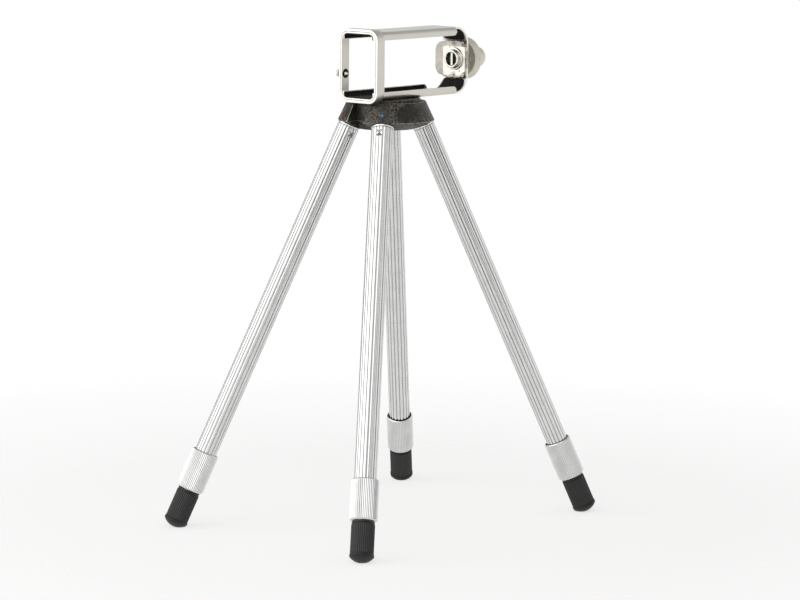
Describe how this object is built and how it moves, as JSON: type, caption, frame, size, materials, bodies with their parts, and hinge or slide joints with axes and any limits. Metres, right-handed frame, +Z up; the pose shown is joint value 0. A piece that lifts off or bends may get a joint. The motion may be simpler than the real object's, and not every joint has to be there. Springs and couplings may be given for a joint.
{
  "type": "camera copy stand",
  "caption": "Small copy stand: a lined aluminium frame with a bayonet lock knob holds a miniature camera on a round hub above splayed telescopic legs with twist collars.",
  "frame": {"origin": "on the ground under the hub's axis, midway between the four feet", "axes": "+Z up, +X along the camera frame towards the lock knob, +Y towards the side screw"},
  "size_m": [0.1676, 0.1236, 0.2267],
  "materials": {
    "crinkle_paint": "matte",
    "red_enamel": "gloss",
    "blue_enamel": "gloss",
    "yellow_enamel": "gloss",
    "white_enamel": "gloss",
    "satin_aluminium": "satin",
    "bright_aluminium": "polished",
    "plated_brass": "polished",
    "plated_steel": "satin",
    "black_lining": "matte",
    "brass": "satin",
    "nylon": "matte",
    "black_plastic": "satin",
    "black_rubber": "matte"
  },
  "bodies": {
    "head": {"hub_casting": "crinkle_paint", "lens_window_ring": "bright_aluminium", "socket_inserts": "bright_aluminium", "red_dot": "red_enamel", "blue_dot": "blue_enamel", "yellow_dot": "yellow_enamel", "white_dot": "white_enamel", "camera_frame": "satin_aluminium", "frame_screws": "plated_steel", "front_band": "satin_aluminium", "bottom_lining": "black_lining", "top_lining": "black_lining", "lower_end_lining": "black_lining", "upper_end_lining": "black_lining", "end_dish": "plated_brass", "bayonet_disc": "plated_brass", "dish_rivets": "plated_steel", "lock_bush": "bright_aluminium", "side_boss": "plated_steel"},
    "lock": {"lock_knob": "satin_aluminium", "lock_spindle": "plated_steel", "knob_pin": "plated_steel"},
    "side_screw": {"side_screw": "plated_steel"},
    "left_leg": {"left_leg_plug": "bright_aluminium", "left_leg_tube": "bright_aluminium", "left_collet": "brass"},
    "left_collar": {"left_collar": "bright_aluminium"},
    "left_foot": {"left_inner_tube": "bright_aluminium", "left_guide_bush": "nylon", "left_foot_barrel": "black_plastic", "left_foot_tip": "black_rubber"},
    "front_leg": {"front_leg_plug": "bright_aluminium", "front_leg_tube": "bright_aluminium", "front_collet": "brass"},
    "front_collar": {"front_collar": "bright_aluminium"},
    "front_foot": {"front_inner_tube": "bright_aluminium", "front_guide_bush": "nylon", "front_foot_barrel": "black_plastic", "front_foot_tip": "black_rubber"},
    "right_leg": {"right_leg_plug": "bright_aluminium", "right_leg_tube": "bright_aluminium", "right_collet": "brass"},
    "right_collar": {"right_collar": "bright_aluminium"},
    "right_foot": {"right_inner_tube": "bright_aluminium", "right_guide_bush": "nylon", "right_foot_barrel": "black_plastic", "right_foot_tip": "black_rubber"},
    "back_leg": {"back_leg_plug": "bright_aluminium", "back_leg_tube": "bright_aluminium", "back_collet": "brass"},
    "back_collar": {"back_collar": "bright_aluminium"},
    "back_foot": {"back_inner_tube": "bright_aluminium", "back_guide_bush": "nylon", "back_foot_barrel": "black_plastic", "back_foot_tip": "black_rubber"}
  },
  "joints": [
    {"name": "lock_turn", "type": "hinge", "parent": "head", "child": "lock", "pos_m": [0.0546, 0, 0.20997], "axis": [1, 0, 0], "range_deg": [0, 90]},
    {"name": "side_screw_drive", "type": "slide", "parent": "head", "child": "side_screw", "axis": [0, -1, 0], "range_m": [0, 0.0005]},
    {"name": "left_leg_turn", "type": "hinge", "parent": "head", "child": "left_leg", "pos_m": [-0.01389, 0.00998, 0.18294], "axis": [-0.3284, 0.236, -0.9146], "range_deg": [0, 360]},
    {"name": "left_collar_twist", "type": "hinge", "parent": "left_leg", "child": "left_collar", "pos_m": [-0.01389, 0.00998, 0.18294], "axis": [-0.3284, 0.236, -0.9146], "range_deg": [0, 120]},
    {"name": "left_foot_slide", "type": "slide", "parent": "left_leg", "child": "left_foot", "axis": [-0.3284, 0.236, -0.9146], "range_m": [0, 0.1405]},
    {"name": "front_leg_turn", "type": "hinge", "parent": "head", "child": "front_leg", "pos_m": [-0.01389, -0.00998, 0.18294], "axis": [-0.3284, -0.236, -0.9146], "range_deg": [0, 360]},
    {"name": "front_collar_twist", "type": "hinge", "parent": "front_leg", "child": "front_collar", "pos_m": [-0.01389, -0.00998, 0.18294], "axis": [-0.3284, -0.236, -0.9146], "range_deg": [0, 120]},
    {"name": "front_foot_slide", "type": "slide", "parent": "front_leg", "child": "front_foot", "axis": [-0.3284, -0.236, -0.9146], "range_m": [0, 0.1405]},
    {"name": "right_leg_turn", "type": "hinge", "parent": "head", "child": "right_leg", "pos_m": [0.01389, -0.00998, 0.18294], "axis": [0.3284, -0.236, -0.9146], "range_deg": [0, 360]},
    {"name": "right_collar_twist", "type": "hinge", "parent": "right_leg", "child": "right_collar", "pos_m": [0.01389, -0.00998, 0.18294], "axis": [0.3284, -0.236, -0.9146], "range_deg": [0, 120]},
    {"name": "right_foot_slide", "type": "slide", "parent": "right_leg", "child": "right_foot", "axis": [0.3284, -0.236, -0.9146], "range_m": [0, 0.1405]},
    {"name": "back_leg_turn", "type": "hinge", "parent": "head", "child": "back_leg", "pos_m": [0.01389, 0.00998, 0.18294], "axis": [0.3284, 0.236, -0.9146], "range_deg": [0, 360]},
    {"name": "back_collar_twist", "type": "hinge", "parent": "back_leg", "child": "back_collar", "pos_m": [0.01389, 0.00998, 0.18294], "axis": [0.3284, 0.236, -0.9146], "range_deg": [0, 120]},
    {"name": "back_foot_slide", "type": "slide", "parent": "back_leg", "child": "back_foot", "axis": [0.3284, 0.236, -0.9146], "range_m": [0, 0.1405]}
  ]
}
